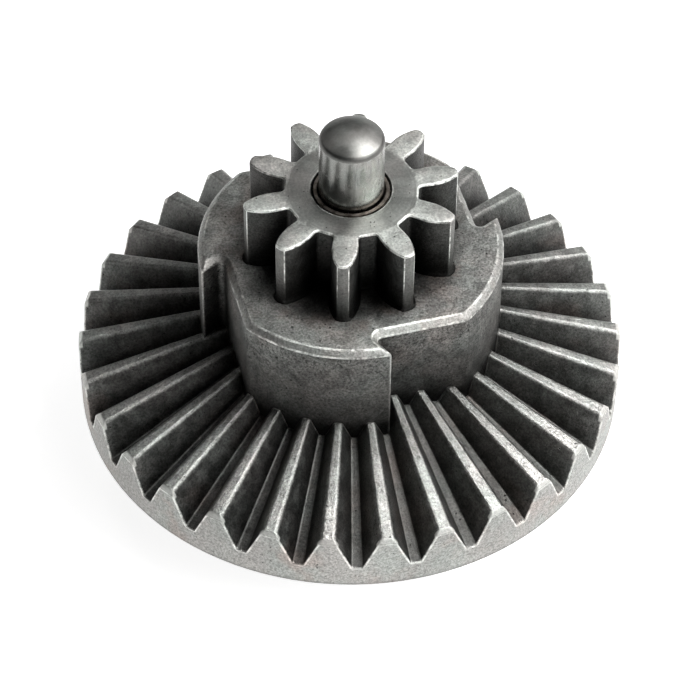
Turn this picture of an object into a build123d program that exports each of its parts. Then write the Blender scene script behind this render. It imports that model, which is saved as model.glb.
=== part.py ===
from build123d import *
import math
import os

os.makedirs("parts", exist_ok=True)

# ---------------------------------------------------------------------------
# Compound bevel gear of a small right-angle electric gearbox, millimetres.
# A straight bevel wheel, a four-step ratchet hub and a spur pinion stand one
# above the other on a short 3 mm axle with domed ends.
# +Z is the axis, towards the pinion. The origin is on the axis, in the face
# of the small thrust boss at the back, where the lower stub of the axle
# leaves the gear.
# ---------------------------------------------------------------------------

# axle
axle_r = 1.50            # 3 mm axle
axle_lo = -3.36          # lower end, where cylinder and dome would meet
axle_hi = 16.25          # upper end, where cylinder and dome would meet
dome_h = 0.50            # height of the domed ends
dome_edge = 0.32         # rounding between cylinder and dome
dome_r = (axle_r ** 2 + dome_h ** 2) / (2 * dome_h)
groove_r = 1.30          # narrow reliefs where the axle leaves the gear's two faces
groove_lo = (-0.05, 0.65)
groove_hi = (12.40, 13.13)

# bush, pressed into the gear, running on the axle
bush_ri = 1.52
bush_ro = 1.75
bush_lo = 0.30
bush_hi = 13.04

# bevel wheel
teeth = 30
rim_r = 13.00            # radius of the cylindrical outer face
z_back = 0.35            # back face of the wheel
z_tip = 3.40             # tooth tips at the outer face
z_root = 1.60            # tooth roots at the outer face
z_apex = 6.84            # common apex of tips, flanks and roots
tip_azimuth = 2.08       # azimuth of one tooth, degrees
root_flat = 0.50         # width of the gap floor at the outer face
flank_top = 0.93         # half width of the gap where the tips round off
tip_round = 0.30         # radius of the rounded tip edges at the outer face
rim_break = 0.18         # broken edge where the teeth meet the outer face
back_break = 0.07        # broken edge at the back of the rim
relief = (5.40, 10.60, 0.45)   # shallow ring in the back: radii and depth

# ratchet hub
hub_r = 7.13             # radius over the four lobes
facet_d = 5.98           # distance of each flat facet from the axis
step_azimuth = 15.6      # azimuth of one ratchet step, degrees
step_hook = 0.55         # how far the step face hooks back under its corner
z_seat = 3.60            # seat of the hub on the wheel
z_hub = 9.65             # top face of the hub
hub_chamfer = 0.27
spigot_r = 4.00          # spigot through the wheel, ends as the thrust boss

# spur pinion
pin_teeth = 10
pin_tip_r = 5.03
pin_root_r = 3.08
pin_azimuth = 14.2       # azimuth of one tooth, degrees
z_pin = 13.08            # top face of the pinion
z_shank = 5.00           # lower end of the pressed shank
shank_r = 2.45
edge_break = 0.05        # fine break along the pinion's top edges
bore_chamfer = 0.14      # round the bush in the pinion's face


def polar(r, deg, z=0.0):
    a = math.radians(deg)
    return Vector(r * math.cos(a), r * math.sin(a), z)


def local(u, v, deg):
    """Point u along the direction deg and v to its left, in the XY plane."""
    a = math.radians(deg)
    return (u * math.cos(a) - v * math.sin(a), u * math.sin(a) + v * math.cos(a))


# ------------------------------------------------------------------- axle --
dome_x = axle_r * 0.52
dome_z = dome_h - (dome_r - math.sqrt(dome_r ** 2 - dome_x ** 2))

with BuildPart() as axle:
    with BuildSketch(Plane.XZ):
        with BuildLine():
            Polyline(
                (0, axle_lo - dome_h), (0, axle_hi + dome_h),
            )
            ThreePointArc(
                (0, axle_hi + dome_h),
                (dome_x, axle_hi + dome_z),
                (axle_r, axle_hi),
            )
            Polyline(
                (axle_r, axle_hi),
                (axle_r, groove_hi[1]), (groove_r, groove_hi[1] - 0.1),
                (groove_r, groove_hi[0] + 0.1), (axle_r, groove_hi[0]),
                (axle_r, groove_lo[1]), (groove_r, groove_lo[1] - 0.1),
                (groove_r, groove_lo[0] + 0.1), (axle_r, groove_lo[0]),
                (axle_r, axle_lo),
            )
            ThreePointArc(
                (axle_r, axle_lo),
                (dome_x, axle_lo - dome_z),
                (0, axle_lo - dome_h),
            )
        make_face()
    revolve(axis=Axis.Z)
    fillet(axle.edges().filter_by(GeomType.CIRCLE).filter_by(
        lambda e: abs(e.radius - axle_r) < 0.001
        and min(abs(e.arc_center.Z - axle_hi), abs(e.arc_center.Z - axle_lo)) < 0.001),
        radius=dome_edge)

# ------------------------------------------------------------------- bush --
with BuildPart() as axle_bush:
    with BuildSketch(Plane.XY.offset(bush_lo)):
        Circle(bush_ro)
        Circle(bush_ri, mode=Mode.SUBTRACT)
    extrude(amount=bush_hi - bush_lo)
    chamfer(axle_bush.edges().filter_by(GeomType.CIRCLE).filter_by(
        lambda e: e.radius < (bush_ri + bush_ro) / 2), length=0.08)

# ------------------------------------------------------------ ratchet hub --
with BuildSketch() as hub_outline:
    with BuildLine():
        for k in range(4):
            a0 = step_azimuth + 90 * k
            inner = local(facet_d, -step_hook, a0)
            v1 = math.sqrt(hub_r ** 2 - facet_d ** 2)
            corner = local(facet_d, v1, a0)
            half = math.degrees(math.atan2(v1, facet_d))
            mid = local(hub_r, 0, a0 + (half + 90) / 2)
            end = local(hub_r, 0, a0 + 90)
            nxt = local(facet_d, -step_hook, a0 + 90)
            Line(inner, corner)
            ThreePointArc(corner, mid, end)
            Line(end, nxt)
    make_face()
    # soft corners where facet and arc meet, and in the root of each step
    fillet([v for v in hub_outline.vertices()
            if abs(math.hypot(v.X, v.Y) - hub_r) < 0.01
            and min(abs((math.degrees(math.atan2(v.Y, v.X)) - step_azimuth - 90 * k + 180) % 360 - 180)
                    for k in range(4)) > 5], radius=0.6)
    fillet([v for v in hub_outline.vertices()
            if math.hypot(v.X, v.Y) < facet_d + 0.06], radius=0.25)

with BuildPart() as ratchet_hub:
    with BuildSketch(Plane.XY.offset(z_seat)):
        add(hub_outline.sketch)
    extrude(amount=z_hub - z_seat)
    chamfer(ratchet_hub.faces().sort_by(Axis.Z)[-1].outer_wire().edges(),
            length=hub_chamfer)
    # spigot through the wheel; its end is the thrust boss
    with BuildSketch(Plane.XY):
        Circle(spigot_r)
    extrude(amount=z_seat)
    chamfer(ratchet_hub.faces().sort_by(Axis.Z)[0].outer_wire().edges(),
            length=0.15)
    # bore for the bush, and the wider bore for the pinion's shank
    with BuildSketch(Plane.XY):
        Circle(bush_ro)
    extrude(amount=z_hub, mode=Mode.SUBTRACT)
    with BuildSketch(Plane.XY.offset(z_shank)):
        Circle(shank_r)
    extrude(amount=z_hub - z_shank, mode=Mode.SUBTRACT)
    chamfer(ratchet_hub.faces().sort_by(Axis.Z)[0].inner_wires()[0].edges(),
            length=0.15)

# ------------------------------------------------------------ bevel wheel --
face_t = (z_apex - z_tip) / rim_r         # rise of the tips per mm inwards
bore_r = spigot_r

# gap between two teeth at the outer face: floor, flanks, rounded tip edges
depth = z_tip - z_root
hx, hz = flank_top, -0.20                 # where flank and tip rounding meet
flank = math.atan2(hx - root_flat / 2, depth + hz)   # lean of the flank
cx = hx + tip_round * math.cos(flank)     # centre of the rounding
cz = hz - tip_round * math.sin(flank)
up = math.sqrt(max(tip_round ** 2 - (0.012 - cz) ** 2, 0))
px, pz = cx - up, 0.012                   # rounding ends just above the tips


def gap_section(scale):
    """One gap, as a section across the tooth at rim_r * scale."""
    z0 = z_apex + (z_tip - z_apex) * scale

    def P(x, z):
        return (x * scale, z0 + z * scale)

    pts = [P(-root_flat / 2, -depth), P(root_flat / 2, -depth), P(hx, hz)]
    aa = (math.pi - math.atan2(hz - cz, cx - hx) + math.pi - math.atan2(pz - cz, cx - px)) / 2
    m = (cx + tip_round * math.cos(aa), cz + tip_round * math.sin(aa))
    with BuildSketch(Plane(origin=(rim_r * scale, 0, 0), x_dir=(0, 1, 0), z_dir=(1, 0, 0))) as s:
        with BuildLine():
            Line(pts[0], pts[1])
            Line(pts[1], pts[2])
            ThreePointArc(pts[2], P(*m), P(px, pz))
            Line(P(px, pz), P(px, 0.9))
            Line(P(px, 0.9), P(-px, 0.9))
            Line(P(-px, 0.9), P(-px, pz))
            ThreePointArc(P(-px, pz), P(-m[0], m[1]), P(-hx, hz))
            Line(P(-hx, hz), pts[0])
        make_face()
    return s.sketch


gap_out = gap_section(1.06)
gap_in = gap_section(0.40)
with BuildPart() as gap:
    loft([gap_out.faces()[0], gap_in.faces()[0]], ruled=True)
print("gap cutter", gap.part.volume, gap.part.is_valid)

with BuildPart() as bevel_wheel:
    with BuildSketch(Plane.XZ):
        with BuildLine():
            zb = z_tip + (rim_r - bore_r) * face_t
            Polyline(
                (bore_r, z_back),
                (relief[0], z_back), (relief[0] + 0.3, z_back + relief[2]),
                (relief[1] - 0.3, z_back + relief[2]), (relief[1], z_back),
                (rim_r - back_break, z_back), (rim_r, z_back + back_break),
                (rim_r, z_tip - rim_break), (rim_r - rim_break, z_tip + rim_break * face_t),
                (bore_r, zb), (bore_r, z_back),
            )
        make_face()
    revolve(axis=Axis.Z)
    # seat of the hub: the teeth end on the outline of the ratchet
    with BuildSketch(Plane.XY.offset(z_seat)):
        add(hub_outline.sketch)
    extrude(amount=4.0, mode=Mode.SUBTRACT)
    with Locations((0, 0, 0)):
        with PolarLocations(0, teeth, start_angle=tip_azimuth + 180 / teeth):
            add(gap.part, mode=Mode.SUBTRACT)

# ------------------------------------------------------------ spur pinion --
# half of one tooth: (distance from the axis along the tooth, half thickness)
tooth_half = [(pin_root_r - 0.25, 0.60), (3.35, 0.580), (3.70, 0.602), (4.05, 0.590),
              (4.40, 0.515), (4.70, 0.405), (4.96, 0.270)]

with BuildSketch() as tooth:
    with BuildLine():
        right = Spline(*[(r, h) for r, h in tooth_half])
        left = Spline(*[(r, -h) for r, h in tooth_half])
        # the tip land is an arc about the axis, with a corner to each flank
        ThreePointArc(tooth_half[-1], (pin_tip_r, 0), (tooth_half[-1][0], -tooth_half[-1][1]))
        Line((tooth_half[0][0], 0.60), (tooth_half[0][0], -0.60))
    make_face()

with BuildSketch() as pinion_outline:
    Circle(pin_root_r)
    with PolarLocations(0, pin_teeth, start_angle=pin_azimuth):
        add(tooth.sketch)
    fillet([v for v in pinion_outline.vertices()
            if abs(math.hypot(v.X, v.Y) - pin_root_r) < 0.02], radius=0.22)

with BuildPart() as spur_pinion:
    with BuildSketch(Plane.XY.offset(z_hub)):
        add(pinion_outline.sketch)
    extrude(amount=z_pin - z_hub)
    chamfer(spur_pinion.faces().sort_by(Axis.Z)[-1].outer_wire().edges(),
            length=edge_break)
    # shank pressed into the hub
    with BuildSketch(Plane.XY.offset(z_shank)):
        Circle(shank_r)
    extrude(amount=z_hub - z_shank)
    with BuildSketch(Plane.XY.offset(z_shank)):
        Circle(bush_ro)
    extrude(amount=z_pin - z_shank, mode=Mode.SUBTRACT)
    chamfer(spur_pinion.faces().sort_by(Axis.Z)[-1].inner_wires()[0].edges(),
            length=bore_chamfer)

for name, piece in (
    ("axle", axle), ("axle_bush", axle_bush), ("bevel_wheel", bevel_wheel),
    ("ratchet_hub", ratchet_hub), ("spur_pinion", spur_pinion),
):
    piece.part.label = name
    export_step(piece.part, f"parts/{name}.step")
    print(name, round(piece.part.volume, 3), piece.part.is_valid)
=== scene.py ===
import math

import bmesh
import bpy
from mathutils import Matrix, Vector
from mathutils.kdtree import KDTree


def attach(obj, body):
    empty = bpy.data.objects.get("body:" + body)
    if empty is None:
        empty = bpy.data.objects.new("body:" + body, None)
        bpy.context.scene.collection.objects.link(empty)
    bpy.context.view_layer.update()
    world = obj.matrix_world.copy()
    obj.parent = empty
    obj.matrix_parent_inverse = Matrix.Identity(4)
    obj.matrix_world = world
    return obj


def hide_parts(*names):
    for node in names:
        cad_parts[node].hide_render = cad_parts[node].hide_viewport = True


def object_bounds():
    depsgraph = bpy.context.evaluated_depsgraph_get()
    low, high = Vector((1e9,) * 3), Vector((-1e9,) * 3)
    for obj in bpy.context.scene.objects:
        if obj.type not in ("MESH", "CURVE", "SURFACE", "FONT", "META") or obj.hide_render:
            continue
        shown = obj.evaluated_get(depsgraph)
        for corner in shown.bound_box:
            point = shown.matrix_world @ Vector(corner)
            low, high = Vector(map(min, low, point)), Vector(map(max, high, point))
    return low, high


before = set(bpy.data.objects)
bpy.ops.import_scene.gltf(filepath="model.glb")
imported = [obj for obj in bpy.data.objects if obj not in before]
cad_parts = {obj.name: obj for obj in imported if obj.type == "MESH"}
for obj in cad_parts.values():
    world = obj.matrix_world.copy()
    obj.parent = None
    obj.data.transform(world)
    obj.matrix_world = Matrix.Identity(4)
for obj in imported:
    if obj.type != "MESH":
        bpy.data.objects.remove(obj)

cad_lo, cad_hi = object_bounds()
scene = bpy.context.scene
MM = 0.001


# ------------------------------------------------------------------ helpers --
class Nodes:
    """Small helper to write node trees: n.add(type, inputs..., props...)."""

    def __init__(self, name):
        self.mat = bpy.data.materials.new(name)
        self.mat.use_nodes = True
        self.tree = self.mat.node_tree
        self.tree.nodes.clear()
        self.out = self.tree.nodes.new("ShaderNodeOutputMaterial")
        self.coord = self.tree.nodes.new("ShaderNodeTexCoord")

    def new(self, kind, **props):
        node = self.tree.nodes.new(kind)
        for k, v in props.items():
            setattr(node, k, v)
        return node

    def link(self, a, b):
        self.tree.links.new(a, b)

    def put(self, socket, value):
        if isinstance(value, bpy.types.NodeSocket):
            self.link(value, socket)
        else:
            socket.default_value = value

    def noise(self, scale, detail=3.0, rough=0.55, vector=None, distortion=0.0):
        n = self.new("ShaderNodeTexNoise")
        n.inputs["Scale"].default_value = scale
        n.inputs["Detail"].default_value = detail
        n.inputs["Roughness"].default_value = rough
        n.inputs["Distortion"].default_value = distortion
        self.link(vector if vector is not None else self.coord.outputs["Object"], n.inputs["Vector"])
        return n.outputs["Fac"]

    def voronoi(self, scale, feature="F1", vector=None):
        n = self.new("ShaderNodeTexVoronoi", feature=feature)
        n.inputs["Scale"].default_value = scale
        self.link(vector if vector is not None else self.coord.outputs["Object"], n.inputs["Vector"])
        return n.outputs["Distance"]

    def math(self, op, a, b=0.0, c=0.0, clamp=False):
        n = self.new("ShaderNodeMath", operation=op, use_clamp=clamp)
        self.put(n.inputs[0], a)
        self.put(n.inputs[1], b)
        self.put(n.inputs[2], c)
        return n.outputs[0]

    def ramp(self, fac, lo, hi, out_lo=0.0, out_hi=1.0, smooth=True):
        n = self.new("ShaderNodeMapRange", clamp=True)
        n.interpolation_type = "SMOOTHSTEP" if smooth else "LINEAR"
        self.put(n.inputs["Value"], fac)
        n.inputs["From Min"].default_value = lo
        n.inputs["From Max"].default_value = hi
        n.inputs["To Min"].default_value = out_lo
        n.inputs["To Max"].default_value = out_hi
        return n.outputs["Result"]

    def mix(self, fac, a, b, blend="MIX"):
        n = self.new("ShaderNodeMix", data_type="RGBA", blend_type=blend)
        self.put(n.inputs[0], fac)
        self.put(n.inputs[6], a)
        self.put(n.inputs[7], b)
        return n.outputs[2]

    def bump(self, height, strength, distance, normal=None):
        n = self.new("ShaderNodeBump")
        n.inputs["Strength"].default_value = strength
        n.inputs["Distance"].default_value = distance
        self.link(height, n.inputs["Height"])
        if normal is not None:
            self.link(normal, n.inputs["Normal"])
        return n.outputs["Normal"]


def tone(v, warm=0.05):
    return (v * (1 + warm * 0.2), v, v * (1 - warm), 1.0)


def edge_mask(n, radius, samples=6):
    """1 on and beside edges, from how far a rounded normal leans off the true one."""
    b = n.new("ShaderNodeBevel", samples=samples)
    b.inputs["Radius"].default_value = radius
    g = n.new("ShaderNodeNewGeometry")
    d = n.new("ShaderNodeVectorMath", operation="DOT_PRODUCT")
    n.link(b.outputs["Normal"], d.inputs[0])
    n.link(g.outputs["Normal"], d.inputs[1])
    return n.math("SUBTRACT", 1.0, d.outputs["Value"]), b.outputs["Normal"]


def place(n):
    """Object coordinates taken apart: x, y, height z and radius about the axis."""
    sep = n.new("ShaderNodeSeparateXYZ")
    n.link(n.coord.outputs["Object"], sep.inputs[0])
    x, y, z = sep.outputs
    r = n.math("SQRT", n.math("ADD", n.math("MULTIPLY", x, x), n.math("MULTIPLY", y, y)))
    return x, y, z, r


def upward(n):
    """1 on faces that look along the axis towards the pinion."""
    g = n.new("ShaderNodeNewGeometry")
    sep = n.new("ShaderNodeSeparateXYZ")
    n.link(g.outputs["True Normal"], sep.inputs[0])
    return n.ramp(sep.outputs[2], 0.80, 0.95)


def powder(n, pit_scale=5200.0, pit_share=0.2):
    """What every sintered face shares: oxide clouds, mottling, powder grain, open pores."""
    t = {
        "cloud": n.noise(260.0, 4.0, 0.6),
        "mottle": n.noise(1500.0, 5.0, 0.68),
        "grain": n.noise(9000.0, 4.0, 0.75),
        "speck": n.noise(21000.0, 2.0, 0.6),
    }
    v = n.new("ShaderNodeTexVoronoi", feature="F1")
    v.inputs["Scale"].default_value = pit_scale
    v.inputs["Randomness"].default_value = 1.0
    n.link(n.coord.outputs["Object"], v.inputs["Vector"])
    sep = n.new("ShaderNodeSeparateColor")
    n.link(v.outputs["Color"], sep.inputs[0])
    open_cell = n.ramp(sep.outputs[0], 1.0 - pit_share, 1.0 - pit_share + 0.02, 0.0, 1.0, False)
    ragged = n.math("ADD", v.outputs["Distance"], n.math("MULTIPLY", n.math("SUBTRACT", t["grain"], 0.5), 0.30))
    ragged = n.math("SUBTRACT", ragged, n.math("MULTIPLY", sep.outputs[1], 0.14))
    t["pit"] = n.math("MULTIPLY", n.ramp(ragged, 0.02, 0.16, 1.0, 0.0), open_cell)
    return t


def sintered_value(n, t, dark, light, contrast=0.8):
    """Scalar brightness of a sintered face, before wear and grime."""
    m = n.math("ADD", n.math("MULTIPLY", n.ramp(t["mottle"], 0.34, 0.68), 0.6), n.math("MULTIPLY", n.ramp(t["cloud"], 0.32, 0.68), 0.4))
    v = n.math("ADD", dark, n.math("MULTIPLY", m, light - dark))
    g = n.math("ADD", 1.0 - contrast * 0.5, n.math("MULTIPLY", n.ramp(t["grain"], 0.30, 0.70), contrast))
    v = n.math("MULTIPLY", v, g)
    return n.math("MULTIPLY", v, n.math("SUBTRACT", 1.0, n.math("MULTIPLY", t["pit"], 0.72)))


def worn_edges(n, t, edge, lo=0.015, hi=0.12, patchy=(0.36, 0.54, 0.35)):
    patch = n.noise(1100.0, 5.0, 0.7)
    return n.math("MULTIPLY", n.ramp(edge, lo, hi), n.ramp(patch, patchy[0], patchy[1], patchy[2], 1.0), clamp=True)


def rubbed(n, lo=0.42, hi=0.60, least=0.12):
    """1 on the facets that break the outer edges, patchy as handling leaves them."""
    a = n.new("ShaderNodeAttribute", attribute_type="GEOMETRY", attribute_name="rubbed")
    patch = n.math("ADD", n.math("MULTIPLY", n.noise(2300.0, 4.0, 0.7), 0.55), n.math("MULTIPLY", n.noise(430.0, 2.0, 0.5), 0.45))
    return n.math("MULTIPLY", a.outputs["Fac"], n.ramp(patch, lo, hi, least, 1.0), clamp=True)


def occlusion_shade(n, distance, lo, hi, darkest):
    """Painted shade from ambient occlusion in corners and gaps: darkest there, 1 in the open."""
    a = n.new("ShaderNodeAmbientOcclusion", samples=6)
    a.inputs["Distance"].default_value = distance
    wobble = n.math("MULTIPLY", n.math("SUBTRACT", n.noise(900.0, 4.0, 0.65), 0.5), 0.30)
    return n.ramp(n.math("ADD", a.outputs["AO"], wobble), lo, hi, darkest, 1.0)


def lerp(n, fac, a, b):
    """a + (b - a) * fac, for scalars."""
    if isinstance(b, (int, float)) and isinstance(a, (int, float)):
        return n.math("ADD", a, n.math("MULTIPLY", fac, b - a))
    return n.math("ADD", a, n.math("MULTIPLY", fac, n.math("SUBTRACT", b, a)))


def metal(n, value, rough, normal, scuff=None, oil=None):
    """Principled metal whose colour is the scalar value, tinted a little warm and green in patches.
    Where scuff is high the metal is torn and scatters light like a matt surface; oil stains it brown."""
    tint = n.mix(n.ramp(n.noise(420.0, 3.0, 0.6), 0.35, 0.65), (1.0, 0.975, 0.930, 1.0), (0.965, 1.0, 0.945, 1.0))
    if oil is not None:
        tint = n.mix(oil, tint, (1.0, 0.890, 0.820, 1.0))
    base = n.mix(n.math("MULTIPLY", value, 1.0, clamp=True), (0, 0, 0, 1), tint)
    s = n.new("ShaderNodeBsdfPrincipled")
    s.inputs["Metallic"].default_value = 1.0
    if scuff is not None:
        n.link(n.math("SUBTRACT", 1.0, n.math("MULTIPLY", scuff, 0.42), clamp=True), s.inputs["Metallic"])
    n.link(base, s.inputs["Base Color"])
    n.link(n.math("MULTIPLY", rough, 1.0, clamp=True), s.inputs["Roughness"])
    n.link(normal, s.inputs["Normal"])
    n.link(s.outputs[0], n.out.inputs["Surface"])
    return n.mat


def grain_height(n, t, keep=1.0):
    h = n.math("ADD", n.math("MULTIPLY", t["grain"], 0.9), n.math("MULTIPLY", t["speck"], 0.35))
    h = n.math("ADD", h, n.math("MULTIPLY", t["mottle"], 0.5))
    return n.math("SUBTRACT", h, n.math("MULTIPLY", t["pit"], 0.9))


def wheel_material(name):
    """Bevel wheel: oily dark flanks with painted shade deeper down the gaps, tooth lands run in bright, outer face
    turned clean.
    """
    n = Nodes(name)
    x, y, z, r = place(n)
    t = powder(n)
    v = sintered_value(n, t, WHEEL[0], WHEEL[1])
    # depth under the cone of the tooth tips
    cone = n.math("SUBTRACT", 0.00684, n.math("MULTIPLY", r, 0.26462))
    depth = n.math("SUBTRACT", cone, z)
    # painted shade: the flanks darken deeper down the tooth gaps
    v = n.math("MULTIPLY", v, n.ramp(depth, 0.00015, 0.0013, 1.15, 0.80))
    # painted shade in corners and gaps, from occlusion
    v = n.math("MULTIPLY", v, occlusion_shade(n, 0.0014, 0.25, 0.80, 0.40))
    wobble = n.math("MULTIPLY", n.math("SUBTRACT", n.noise(2600.0, 4.0, 0.7), 0.5), 0.00010)
    land = n.ramp(n.math("ADD", depth, wobble), 0.0, 0.00017, 1.0, 0.0)
    # run-in streaks along the tooth
    land_tone = n.math("MULTIPLY", n.ramp(t["grain"], 0.32, 0.66, 0.45, 1.0), n.ramp(t["mottle"], 0.30, 0.66, 0.62, 1.0))
    reach = n.math("ADD", r, n.math("MULTIPLY", n.math("SUBTRACT", n.noise(520.0, 3.0, 0.6), 0.5), 0.0030))
    land_tone = n.math("MULTIPLY", land_tone, n.ramp(reach, 0.0068, 0.0122, LAND[0], LAND[1]))
    land_tone = n.math("MULTIPLY", land_tone, n.math("SUBTRACT", 1.0, n.math("MULTIPLY", t["pit"], 0.35)))
    outer = n.ramp(r, 0.01296, 0.012985, 0.0, 1.0, False)
    inner = n.math("SUBTRACT", 1.0, outer)
    land = n.math("MULTIPLY", land, inner)
    v = lerp(n, land, v, land_tone)
    turned = n.math("MULTIPLY", n.ramp(t["grain"], 0.30, 0.68, RIM[0], RIM[1]), n.ramp(t["mottle"], 0.3, 0.7, 0.80, 1.0))
    turned = n.math("MULTIPLY", turned, n.ramp(t["cloud"], 0.3, 0.7, 0.90, 1.06))
    turned = n.math("MULTIPLY", turned, n.math("SUBTRACT", 1.0, n.math("MULTIPLY", t["pit"], 0.45)))
    # the turned face darker along its back edge
    turned = n.math("MULTIPLY", turned, n.ramp(n.math("ADD", z, wobble), 0.00038, 0.00062, 0.55, 1.0))
    v = lerp(n, outer, v, turned)
    # the broken edge between tooth tips and outer face is bare metal
    nose = n.math("MULTIPLY", n.ramp(r, 0.01278, 0.01284), n.math("MULTIPLY", inner, n.ramp(depth, 0.00028, 0.00040, 1.0, 0.0)))
    v = lerp(n, nose, v, n.math("MULTIPLY", n.ramp(t["grain"], 0.3, 0.7, 0.75, 1.0), 0.74))
    edge, rounded = edge_mask(n, 0.00018, 10)
    worn = worn_edges(n, t, edge, 0.010, 0.08)
    # the outline of each tooth on the outer face is rubbed bare
    bare = n.math("MULTIPLY", n.ramp(edge, 0.004, 0.040), n.ramp(r, 0.01284, 0.01294))
    bare = n.math("MULTIPLY", bare, n.ramp(n.noise(2100.0, 4.0, 0.7), 0.40, 0.56, 0.25, 1.0))
    bare = n.math("MULTIPLY", bare, n.ramp(z, 0.0008, 0.0014, 0.15, 1.0))
    worn = n.math("MULTIPLY", worn, n.ramp(depth, 0.0004, 0.0011, 0.8, 0.2))
    worn = n.math("MAXIMUM", worn, bare)
    v = lerp(n, worn, v, 0.80)
    rough = n.ramp(t["mottle"], 0.3, 0.7, 0.42, 0.56)
    rough = lerp(n, land, rough, 0.34)
    rough = lerp(n, worn, rough, 0.36)
    rough = n.math("ADD", rough, n.math("MULTIPLY", t["pit"], 0.2))
    h = n.math("MULTIPLY", grain_height(n, t), n.math("ADD", 1.0, n.math("MULTIPLY", land, 0.6)))
    scuff = n.math("MAXIMUM", n.math("MULTIPLY", nose, 0.7), n.math("MULTIPLY", worn, 0.4))
    oil = n.math("MULTIPLY", n.ramp(n.noise(330.0, 4.0, 0.6), 0.50, 0.66, 0.0, 0.9), n.ramp(depth, 0.0003, 0.0010))
    return metal(n, v, rough, n.bump(h, 0.80, 0.000032, rounded), scuff, oil)


def hub_material(name):
    """Ratchet hub: as sintered, oilier down its walls and darker there with painted shade, edges rubbed bright."""
    n = Nodes(name)
    x, y, z, r = place(n)
    up = upward(n)
    t = powder(n, 4600.0, 0.22)
    v = sintered_value(n, t, HUB_WALL[0], HUB_WALL[1], 1.0)
    # dark oxide specks, thickest under the top edge
    specks = n.math("MULTIPLY", n.ramp(n.noise(7000.0, 3.0, 0.7), 0.50, 0.60), n.ramp(n.math("ADD", z, n.math("MULTIPLY", n.math("SUBTRACT", t["cloud"], 0.5), 0.004)), 0.0066, 0.0086, 0.10, 0.55))
    v = n.math("MULTIPLY", v, n.math("SUBTRACT", 1.0, specks))
    # painted shade: the walls darken towards their foot and lighten towards the top edge
    v = n.math("MULTIPLY", v, n.ramp(z, 0.0038, 0.0094, 0.45, 1.55))
    top = sintered_value(n, t, HUB_TOP[0], HUB_TOP[1], 0.9)
    # painted shade: the top darkens in the corner round the pinion's feet, where the teeth's shadow falls
    foot = n.math("ADD", r, n.math("MULTIPLY", n.math("SUBTRACT", n.noise(700.0, 4.0, 0.65), 0.5), 0.0016))
    top = n.math("MULTIPLY", top, n.ramp(foot, 0.0044, 0.0060, 0.36, 1.0))
    v = lerp(n, up, v, top)
    # painted shade in corners and gaps, from occlusion
    v = n.math("MULTIPLY", v, occlusion_shade(n, 0.0020, 0.30, 0.88, 0.22))
    slope = n.new("ShaderNodeSeparateXYZ")
    n.link(n.new("ShaderNodeNewGeometry").outputs["True Normal"], slope.inputs[0])
    lean = n.math("SUBTRACT", 1.0, n.math("ABSOLUTE", n.math("MULTIPLY", n.math("SUBTRACT", slope.outputs[2], 0.707), 5.0)), clamp=True)
    lean = n.math("MULTIPLY", lean, n.ramp(z, 0.0090, 0.0092))
    v = lerp(n, n.math("MULTIPLY", lean, 0.8), v, n.math("MULTIPLY", n.ramp(t["grain"], 0.3, 0.7, 0.5, 1.0), HUB_CHAMFER))
    edge, rounded = edge_mask(n, 0.00016, 8)
    worn = worn_edges(n, t, edge, 0.006, 0.040, (0.34, 0.50, 0.50))
    worn = n.math("MAXIMUM", n.math("MULTIPLY", worn, 0.60), rubbed(n))
    worn = n.math("MULTIPLY", worn, n.ramp(z, 0.0050, 0.0088, 0.30, 1.0))
    v = lerp(n, worn, v, n.ramp(t["grain"], 0.32, 0.62, 0.50, 0.92))
    rough = lerp(n, up, n.ramp(t["mottle"], 0.3, 0.7, 0.44, 0.58), n.ramp(t["mottle"], 0.3, 0.7, 0.40, 0.52))
    rough = lerp(n, worn, rough, 0.36)
    rough = n.math("ADD", rough, n.math("MULTIPLY", t["pit"], 0.2))
    oil = n.math("MULTIPLY", n.ramp(n.noise(480.0, 4.0, 0.65), 0.44, 0.60), n.ramp(foot, 0.0046, 0.0070, 1.0, 0.25))
    return metal(n, v, rough, n.bump(grain_height(n, t), 0.90, 0.000034, rounded), worn, oil)


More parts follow.
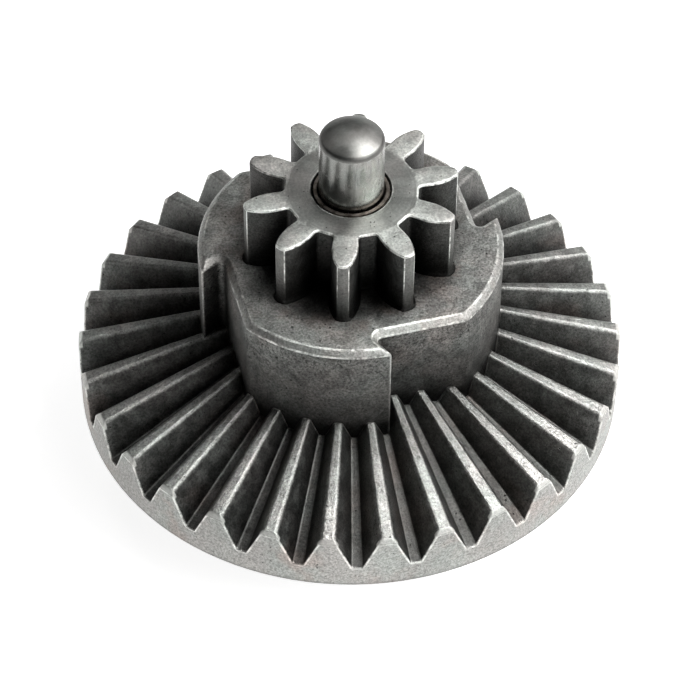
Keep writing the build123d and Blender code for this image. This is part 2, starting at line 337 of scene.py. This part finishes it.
def pinion_material(name):
    """Spur pinion: dark oiled flanks with painted shade deepening towards their feet and in the gaps, bright grainy
    end faces of the teeth, a smoother ring rubbed by the thrust washer.
    """
    n = Nodes(name)
    x, y, z, r = place(n)
    up = n.math("MULTIPLY", upward(n), n.ramp(z, 0.0110, 0.0120))
    t = powder(n, 5600.0, 0.2)
    side = sintered_value(n, t, PIN_SIDE[0], PIN_SIDE[1], 0.9)
    # tip lands of the teeth are rubbed lighter
    tip = n.ramp(r, 0.00490, 0.00498)
    side = lerp(n, tip, side, n.math("MULTIPLY", n.ramp(t["grain"], 0.3, 0.7, 0.55, 1.0), PIN_TIP))
    # painted shade: the flanks darken towards the pinion's feet and lighten towards the top
    side = n.math("MULTIPLY", side, n.ramp(z, 0.0099, 0.0128, 0.50, 1.35))
    # painted shade in the gaps between teeth, from occlusion
    side = n.math("MULTIPLY", side, occlusion_shade(n, 0.0018, 0.25, 0.85, 0.25))
    face = sintered_value(n, t, PIN_FACE[0], PIN_FACE[1], 0.55)
    rub = n.math("MULTIPLY", n.math("SUBTRACT", n.noise(1500.0, 3.0, 0.6), 0.5), 0.00012)
    ring = n.ramp(n.math("ADD", r, rub), 0.00290, 0.00312, 1.0, 0.0)
    turning = n.new("ShaderNodeCombineXYZ")
    n.link(n.math("MULTIPLY", r, 1.0), turning.inputs[0])
    n.link(n.math("MULTIPLY", z, 0.05), turning.inputs[2])
    arcs = n.noise(15000.0, 2.0, 0.5, turning.outputs[0])
    smooth = sintered_value(n, t, PIN_RING[0], PIN_RING[1], 0.35)
    smooth = n.math("MULTIPLY", smooth, n.ramp(arcs, 0.35, 0.65, 0.93, 1.06))
    face = lerp(n, ring, face, smooth)
    v = lerp(n, up, side, face)
    edge, rounded = edge_mask(n, 0.00014, 8)
    worn = worn_edges(n, t, edge, 0.006, 0.045, (0.34, 0.50, 0.6))
    worn = n.math("MAXIMUM", n.math("MULTIPLY", worn, 0.6), rubbed(n, 0.43, 0.59, 0.12))
    worn = n.math("MULTIPLY", worn, n.ramp(z, 0.0100, 0.0120, 0.0, 1.0))
    v = lerp(n, worn, v, n.ramp(t["grain"], 0.32, 0.62, 0.70, 0.97))
    rough = n.ramp(t["mottle"], 0.3, 0.7, 0.42, 0.56)
    rough = lerp(n, n.math("MULTIPLY", ring, up), rough, 0.40)
    rough = lerp(n, worn, rough, 0.36)
    rough = n.math("ADD", rough, n.math("MULTIPLY", t["pit"], 0.2))
    h = n.math("MULTIPLY", grain_height(n, t), n.math("SUBTRACT", 1.0, n.math("MULTIPLY", n.math("MULTIPLY", ring, up), 0.65)))
    return metal(n, v, rough, n.bump(h, 0.85, 0.000034, rounded), worn)


def polished(name):
    """Ground axle steel: fine rings round the axis, a few rubbed streaks along it."""
    n = Nodes(name)
    rings = n.new("ShaderNodeMapping")
    rings.inputs["Scale"].default_value = (0.06, 0.06, 1.0)
    n.link(n.coord.outputs["Object"], rings.inputs["Vector"])
    ring = n.noise(26000.0, 2.0, 0.6, rings.outputs[0])
    cloud = n.noise(900.0, 4.0, 0.6)
    streak_map = n.new("ShaderNodeMapping")
    streak_map.inputs["Scale"].default_value = (1.0, 1.0, 0.14)
    n.link(n.coord.outputs["Object"], streak_map.inputs["Vector"])
    streak = n.noise(5200.0, 3.0, 0.6, streak_map.outputs[0])
    # the domed ends are tumbled, not ground
    x, y, z, rad = place(n)
    ends = n.math("MAXIMUM", n.ramp(z, 0.01606, 0.01612), n.ramp(z, -0.00323, -0.00317, 1.0, 0.0))
    streak = n.math("MULTIPLY", streak, n.math("SUBTRACT", 1.0, ends))
    v = n.ramp(cloud, 0.3, 0.7, AXLE[0], AXLE[1])
    v = n.math("MULTIPLY", v, n.ramp(streak, 0.55, 0.72, 1.0, 0.72))
    v = n.math("MULTIPLY", v, n.ramp(n.noise(8200.0, 3.0, 0.65), 0.35, 0.65, 0.94, 1.05))
    r = n.ramp(cloud, 0.3, 0.7, 0.20, 0.29)
    r = n.math("ADD", r, n.ramp(streak, 0.5, 0.75, 0.0, 0.10))
    r = lerp(n, ends, r, n.ramp(cloud, 0.3, 0.7, 0.42, 0.52))
    v = n.math("MULTIPLY", v, n.math("ADD", 1.0, n.math("MULTIPLY", ends, 0.22)))
    # painted shade: a darker ring along the crease where dome and cylinder run together
    ring_hi = n.math("MULTIPLY", n.ramp(z, 0.01606, 0.01612), n.ramp(rad, 0.00134, 0.00141))
    ring_lo = n.math("MULTIPLY", n.ramp(z, -0.00323, -0.00317, 1.0, 0.0), n.ramp(rad, 0.00134, 0.00141))
    v = n.math("MULTIPLY", v, n.math("SUBTRACT", 1.0, n.math("MULTIPLY", n.math("MAXIMUM", ring_hi, ring_lo), 0.45)))
    edge, rounded = edge_mask(n, 0.00012)
    return metal(n, v, r, n.bump(ring, 0.10, 0.00001, rounded))


def bronze(name):
    """Bush: oiled sintered bronze gone dark, its end face scuffed grey."""
    n = Nodes(name)
    t = powder(n, 7000.0, 0.5)
    cloud = n.noise(2600.0, 4.0, 0.6)
    base = n.mix(n.ramp(cloud, 0.35, 0.65), (0.11, 0.092, 0.076, 1), (0.32, 0.285, 0.25, 1))
    base = n.mix(n.ramp(t["grain"], 0.52, 0.72, 0.0, 0.8), base, (0.40, 0.37, 0.34, 1))
    base = n.mix(n.math("MULTIPLY", t["pit"], 0.8), base, (0.02, 0.015, 0.01, 1))
    s = n.new("ShaderNodeBsdfPrincipled")
    s.inputs["Metallic"].default_value = 1.0
    n.link(base, s.inputs["Base Color"])
    n.link(n.ramp(cloud, 0.3, 0.7, 0.30, 0.5), s.inputs["Roughness"])
    n.link(n.bump(t["grain"], 0.4, 0.00003), s.inputs["Normal"])
    n.link(s.outputs[0], n.out.inputs["Surface"])
    return n.mat


# brightness of the finishes, darkest and lightest patches
WHEEL = (0.080, 0.21)
LAND = (0.27, 0.70)
RIM = (0.18, 0.45)
HUB_WALL = (0.066, 0.185)
HUB_TOP = (0.215, 0.49)
HUB_CHAMFER = 0.56
PIN_SIDE = (0.024, 0.065)
PIN_TIP = 0.16
PIN_FACE = (0.44, 0.80)
PIN_RING = (0.43, 0.56)
AXLE = (0.205, 0.295)

wheel_mat = wheel_material("sintered_wheel")
hub_mat = hub_material("sintered_hub")
pinion_mat = pinion_material("sintered_pinion")
axle_mat = polished("axle_steel")
bush_mat = bronze("bush_bronze")


# ------------------------------------------------------------------- pieces --
def foot_skirt(bm, z, reach, base_r):
    """A small fillet of metal where upright walls stand on the face at height z."""
    for step in (0.30, 1.0):
        bmesh.ops.bisect_plane(bm, geom=bm.verts[:] + bm.edges[:] + bm.faces[:], dist=1e-8,
                               plane_co=(0, 0, z + reach * step), plane_no=(0, 0, 1))
    bm.normal_update()
    moves = []
    for v in bm.verts:
        h = v.co.z - z
        if math.hypot(v.co.x, v.co.y) < base_r or h < -1e-7 or h > reach * 0.9:
            continue
        side = Vector((0, 0, 0))
        for f in v.link_faces:
            if abs(f.normal.z) < 0.2:
                side += f.normal.normalized()
        side.z = 0
        if side.length > 0:
            out = reach if h < reach * 0.1 else reach * 0.32
            moves.append((v, side.normalized() * out))
    for v, d in moves:
        v.co += d


def finish_edges(node, body, mat, width, segments=2, angle=24.0, skirt=None):
    """The CAD piece with its sharp edges broken: flat faces cleaned up, then every real edge rounded off by width.
    A width of None keeps the edges as they are, with crisp shading. New facets of outer edges are marked as rubbed."""
    bm = bmesh.new()
    bm.from_mesh(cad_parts[node].data)
    layer = bm.faces.layers.float.new("rubbed")
    bmesh.ops.remove_doubles(bm, verts=bm.verts, dist=1e-7)
    bmesh.ops.dissolve_limit(bm, angle_limit=math.radians(0.15), verts=bm.verts, edges=bm.edges,
                             use_dissolve_boundaries=False)
    bm.normal_update()
    if skirt:
        foot_skirt(bm, *skirt)
    bm.normal_update()
    sharp = [e for e in bm.edges
             if len(e.link_faces) == 2 and e.calc_face_angle(0.0) > math.radians(angle)
             and not (skirt and abs(sum(v.co.z for v in e.verts) / 2 - skirt[0]) < skirt[1] * 1.05)]
    along = []
    if width is None:
        for e in sharp:
            e.smooth = False
        sharp = []
    for e in sharp:
        a, b = e.verts[0].co.copy(), e.verts[1].co.copy()
        k = max(2, int((b - a).length / 0.00015))
        along += [(a.lerp(b, i / k), 1.0 if e.is_convex else 0.0) for i in range(k + 1)]
    tree = KDTree(len(along))
    for i, (co, outer) in enumerate(along):
        tree.insert(co, i)
    tree.balance()
    if sharp:
        made = bmesh.ops.bevel(bm, geom=sharp, offset=width, offset_type="OFFSET", segments=segments,
                               profile=0.5, affect="EDGES", clamp_overlap=True, loop_slide=True)
        for f in made["faces"]:
            f[layer] = along[tree.find(f.calc_center_median())[1]][1]
    bmesh.ops.triangulate(bm, faces=[f for f in bm.faces if len(f.verts) > 4],
                          quad_method="BEAUTY", ngon_method="BEAUTY")
    for f in bm.faces:
        f.smooth = True
    me = bpy.data.meshes.new(node + "_finished")
    bm.to_mesh(me)
    bm.free()
    me.materials.append(mat)
    o = bpy.data.objects.new(node + "_finished", me)
    scene.collection.objects.link(o)
    w = o.modifiers.new("normals", "WEIGHTED_NORMAL")
    w.mode = "FACE_AREA"
    w.weight = 60
    w.keep_sharp = width is None
    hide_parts(node)
    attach(o, body)
    return o


finish_edges("bevel_wheel", "gear", wheel_mat, None)
finish_edges("ratchet_hub", "gear", hub_mat, 0.00007)
finish_edges("spur_pinion", "gear", pinion_mat, 0.00006,
             skirt=(0.00965, 0.00013, 0.0026))
for name, mat in (("axle", axle_mat), ("axle_bush", bush_mat)):
    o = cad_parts[name]
    o.data.materials.clear()
    o.data.materials.append(mat)

# ------------------------------------------------------------ floor, light --
mesh = bpy.data.meshes.new("floor")
h = 1.2
z = cad_lo.z
mesh.from_pydata([(-h, -h, z), (h, -h, z), (h, h, z), (-h, h, z)], [], [(0, 1, 2, 3)])
floor = bpy.data.objects.new("floor", mesh)
scene.collection.objects.link(floor)
n = Nodes("pale_floor")
s = n.new("ShaderNodeBsdfPrincipled")
n.link(n.mix(n.noise(30.0, 3.0), tone(0.86, 0.0), tone(0.90, 0.0)), s.inputs["Base Color"])
s.inputs["Roughness"].default_value = 0.9
s.inputs["Specular IOR Level"].default_value = 0.1
s.inputs["Emission Color"].default_value = (1.0, 1.0, 1.0, 1.0)
s.inputs["Emission Strength"].default_value = 0.87
n.link(s.outputs[0], n.out.inputs["Surface"])
mesh.materials.append(n.mat)

centre = (cad_lo + cad_hi) / 2


def area(name, direction, distance, size, power, colour=(1, 1, 1)):
    d = Vector(direction).normalized()
    data = bpy.data.lights.new(name, "AREA")
    data.shape = "RECTANGLE"
    data.size, data.size_y = size
    data.energy = power
    data.color = colour
    o = bpy.data.objects.new(name, data)
    o.location = centre + d * distance
    o.rotation_mode = "QUATERNION"
    o.rotation_quaternion = d.to_track_quat("Z", "Y")
    scene.collection.objects.link(o)
    o.visible_camera = False
    return o


def around(azimuth, elevation):
    a, e = math.radians(azimuth), math.radians(elevation)
    return (math.cos(a) * math.cos(e), math.sin(a) * math.cos(e), math.sin(e))


# the key lamps stand close by on the right, so the left side falls off into shade
for name, azimuth, elevation, distance, power, side in (
    ("key_high", 354, 64, 0.085, 0.0500, 0.028), ("key_side", 0, 38, 0.085, 0.0235, 0.031),
    ("front_right", 318, 39, 0.085, 0.0218, 0.029), ("front", 296, 40, 0.085, 0.0084, 0.027),
    ("back_right", 45, 38, 0.45, 0.20, 0.20), ("back_high", 60, 64, 0.45, 0.11, 0.20),
    ("back_left", 128, 64, 0.45, 0.09, 0.12), ("back", 90, 38, 0.45, 0.03, 0.20),
):
    area(name, around(azimuth, elevation), distance, (side, side), power)

world = bpy.data.worlds.new("studio")
world.use_nodes = True
world.node_tree.nodes["Background"].inputs[0].default_value = (1.0, 1.0, 1.0, 1)
world.node_tree.nodes["Background"].inputs[1].default_value = 0.006
scene.world = world
scene.view_settings.view_transform = "Standard"
scene.view_settings.look = "None"

# ------------------------------------------------------------------ camera --
DIST, ELEV, ROLL = 143.188 * MM, math.radians(47.468), 0.011759
LENS = 36.0 * 2981.71 / 700.0
TIPS = 3.4 * MM                      # height of the tooth tips over the origin
pos = Vector((0, -DIST * math.cos(ELEV), DIST * math.sin(ELEV) + TIPS))
aim = Vector((0.0212 * MM, 0, -1.3043 * MM + TIPS))
fwd = (aim - pos).normalized()
right = fwd.cross(Vector((0, 0, 1))).normalized()
up = right.cross(fwd)
r2 = math.cos(ROLL) * right + math.sin(ROLL) * up
u2 = -math.sin(ROLL) * right + math.cos(ROLL) * up
cam_data = bpy.data.cameras.new("camera")
cam = bpy.data.objects.new("camera", cam_data)
scene.collection.objects.link(cam)
cam.matrix_world = Matrix((
    (r2.x, u2.x, -fwd.x, pos.x),
    (r2.y, u2.y, -fwd.y, pos.y),
    (r2.z, u2.z, -fwd.z, pos.z),
    (0, 0, 0, 1),
))
cam_data.lens = LENS
cam_data.sensor_width = 36.0
cam_data.sensor_fit = "HORIZONTAL"
cam_data.clip_start, cam_data.clip_end = 0.005, 10.0
scene.camera = cam
